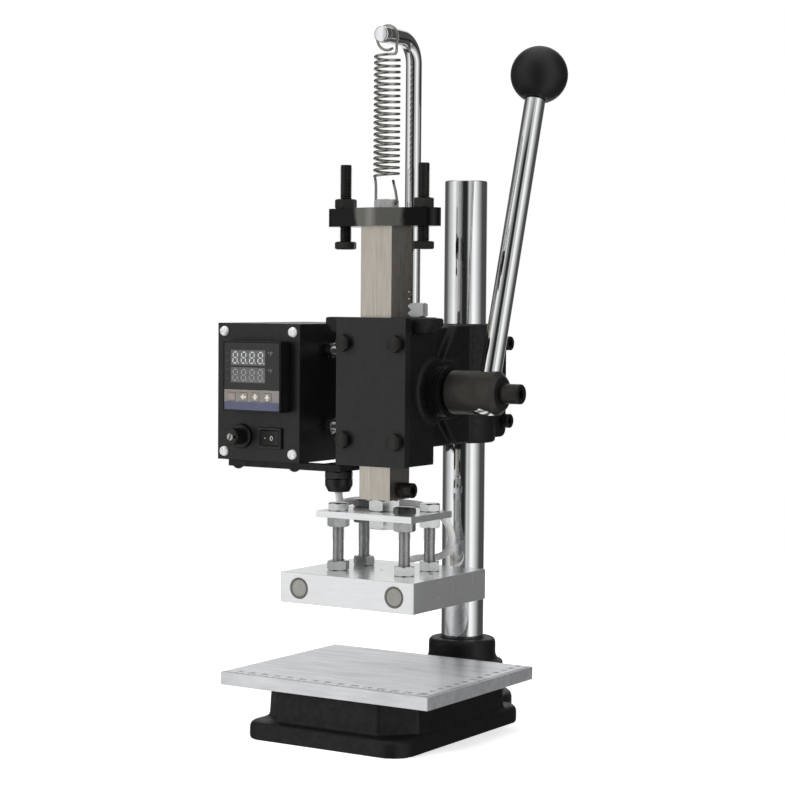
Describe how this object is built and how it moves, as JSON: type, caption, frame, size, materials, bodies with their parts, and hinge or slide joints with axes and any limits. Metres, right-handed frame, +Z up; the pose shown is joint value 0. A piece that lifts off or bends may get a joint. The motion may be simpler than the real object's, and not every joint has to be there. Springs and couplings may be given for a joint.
{
  "type": "hot foil stamping press",
  "caption": "Hand lever rack press on a column that pushes a heated plate down onto a work table, with a temperature controller box at its left side.",
  "frame": {"origin": "on the underside of the base, below the axis of the ram", "axes": "+X to the right of a user who stands at the front and looks along +Y, -Y out of its front towards that user, +Z up along the ram and the column"},
  "size_m": [0.2158, 0.2145, 0.4684],
  "materials": {
    "casting_black": "rough satin paint over cast iron",
    "cover_charcoal": "satin powder coat",
    "box_black": "fine satin powder coat",
    "black_oxide": "black oxide, slightly oily",
    "zinc": "bright zinc plate",
    "ground_steel": "surface ground",
    "spring_steel": "drawn wire, faintly golden",
    "chrome": "polished",
    "table_aluminium": "fine brushed",
    "plate_aluminium": "machined satin",
    "bronze": "turned",
    "cartridge_steel": "dull, heat tinted",
    "plastic_black": "fine grained",
    "plastic_cream": "moulded",
    "ball_black": "polished",
    "display": "smoked window",
    "key_band": "printed foil",
    "key_grey": "soft touch",
    "silicone_white": "silicone sleeve",
    "fuse_glass": "clear tube"
  },
  "bodies": {
    "base": {"base_casting": "casting_black", "table_screws": "black_oxide", "work_table": "table_aluminium", "column": "chrome", "column_set_screw": "black_oxide"},
    "head": {"head_casting": "casting_black", "front_cover": "cover_charcoal", "cover_bolts": "black_oxide", "clamp_screws": "black_oxide", "bearing_cap": "casting_black", "pinion_bush": "bronze", "spring_rod": "chrome", "spring_rod_nut": "black_oxide", "tension_spring": "spring_steel", "box_studs": "zinc", "box_nuts": "zinc", "control_box": "box_black", "box_front_panel": "box_black", "panel_screws": "chrome", "temperature_controller": "plastic_black", "display_window": "display", "key_strip": "key_band", "fuse_holder": "plastic_black", "switch_frame": "plastic_black", "solid_state_relay": "plastic_cream", "box_bracket": "casting_black", "bracket_screws": "black_oxide", "lead_gland": "plastic_black", "mains_gland": "plastic_black", "heater_lead": "silicone_white"},
    "rocker": {"switch_rocker": "plastic_black"},
    "set_button": {"key_set": "key_grey"},
    "left_button": {"key_left": "key_grey"},
    "down_button": {"key_down": "key_grey"},
    "up_button": {"key_up": "key_grey"},
    "fuse_carrier": {"fuse": "fuse_glass"},
    "fuse_knob": {"fuse_cap": "plastic_black"},
    "press_ram": {"ram": "ground_steel", "stop_plate": "black_oxide", "spring_anchor": "zinc", "stop_lock_nuts": "black_oxide", "ram_set_screw": "black_oxide", "spigot_bolt": "zinc", "spigot_nut": "zinc", "upper_plate": "plate_aluminium", "levelling_bolts": "zinc", "upper_jam_nuts": "zinc", "lower_jam_nuts": "zinc", "heating_plate": "plate_aluminium", "heater_cartridges": "cartridge_steel", "thermocouple": "cartridge_steel", "terminal_block": "plastic_cream", "heater_wires": "silicone_white"},
    "left_stop": {"stop_bolt_left": "black_oxide"},
    "right_stop": {"stop_bolt_right": "black_oxide"},
    "lever": {"pinion_shaft": "ground_steel", "hub": "black_oxide", "hub_screw": "black_oxide", "lever_rod": "chrome", "lever_ball": "ball_black"}
  },
  "joints": [
    {"name": "head_height", "type": "slide", "parent": "base", "child": "head", "axis": [0, 0, 1], "range_m": [-0.012, 0.08]},
    {"name": "ram_slide", "type": "slide", "parent": "head", "child": "press_ram", "axis": [0, 0, -1], "range_m": [0, 0.032], "stiffness_N_per_m": 1000, "springref_m": -0.045, "deforming": ["tension_spring", "heater_lead"]},
    {"name": "lever_turn", "type": "hinge", "parent": "head", "child": "lever", "pos_m": [0.0665, 0.02272, 0.2263], "axis": [1, 0, 0], "range_deg": [0, 153]},
    {"name": "left_stop_set", "type": "slide", "parent": "press_ram", "child": "left_stop", "axis": [0, 0, -1], "range_m": [-0.008, 0.01]},
    {"name": "right_stop_set", "type": "slide", "parent": "press_ram", "child": "right_stop", "axis": [0, 0, -1], "range_m": [-0.008, 0.01]},
    {"name": "rocker_tilt", "type": "hinge", "parent": "head", "child": "rocker", "pos_m": [-0.08, -0.0171, 0.1927], "axis": [0, 0, 1], "range_deg": [-18, 0]},
    {"name": "set_press", "type": "slide", "parent": "head", "child": "set_button", "axis": [0, 1, 0], "range_m": [0, 0.0006], "stiffness_N_per_m": 600, "springref_m": -0.0005},
    {"name": "left_press", "type": "slide", "parent": "head", "child": "left_button", "axis": [0, 1, 0], "range_m": [0, 0.0006], "stiffness_N_per_m": 600, "springref_m": -0.0005},
    {"name": "down_press", "type": "slide", "parent": "head", "child": "down_button", "axis": [0, 1, 0], "range_m": [0, 0.0006], "stiffness_N_per_m": 600, "springref_m": -0.0005},
    {"name": "up_press", "type": "slide", "parent": "head", "child": "up_button", "axis": [0, 1, 0], "range_m": [0, 0.0006], "stiffness_N_per_m": 600, "springref_m": -0.0005},
    {"name": "fuse_draw", "type": "slide", "parent": "head", "child": "fuse_carrier", "axis": [0, -1, 0], "range_m": [0, 0.035]},
    {"name": "fuse_knob_turn", "type": "hinge", "parent": "fuse_carrier", "child": "fuse_knob", "pos_m": [-0.10455, -0.0209, 0.1932], "axis": [0, 1, 0], "range_deg": [0, 60]}
  ],
  "couplings": [
    {"joint": "lever_turn", "follows": "ram_slide", "rad_per_m": 83.333}
  ]
}
